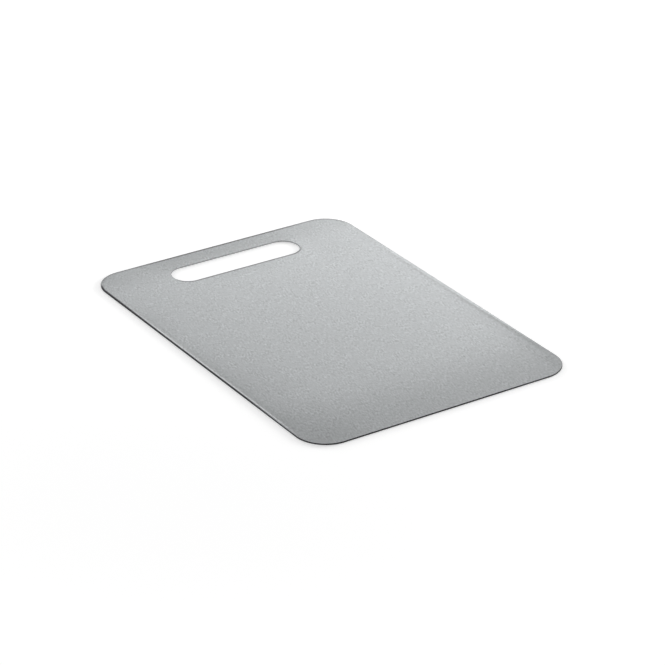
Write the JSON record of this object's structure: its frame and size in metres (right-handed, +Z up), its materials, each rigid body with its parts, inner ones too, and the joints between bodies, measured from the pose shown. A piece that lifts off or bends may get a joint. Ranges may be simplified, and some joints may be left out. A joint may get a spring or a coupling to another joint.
{
  "type": "cutting board",
  "caption": "Thin textured metal cutting board with rounded corners, rounded edges and a finger slot at one end.",
  "frame": {"origin": "centre of the board's outline, on the plane of its underside", "axes": "+X across the board, +Y along it towards the finger slot, +Z up, out of the cutting face"},
  "size_m": [0.25, 0.35, 0.0012],
  "materials": {
    "textured_steel": "satin grey with a fine all-over pebble texture"
  },
  "bodies": {
    "root": {"board_sheet": "textured_steel"}
  },
  "joints": []
}
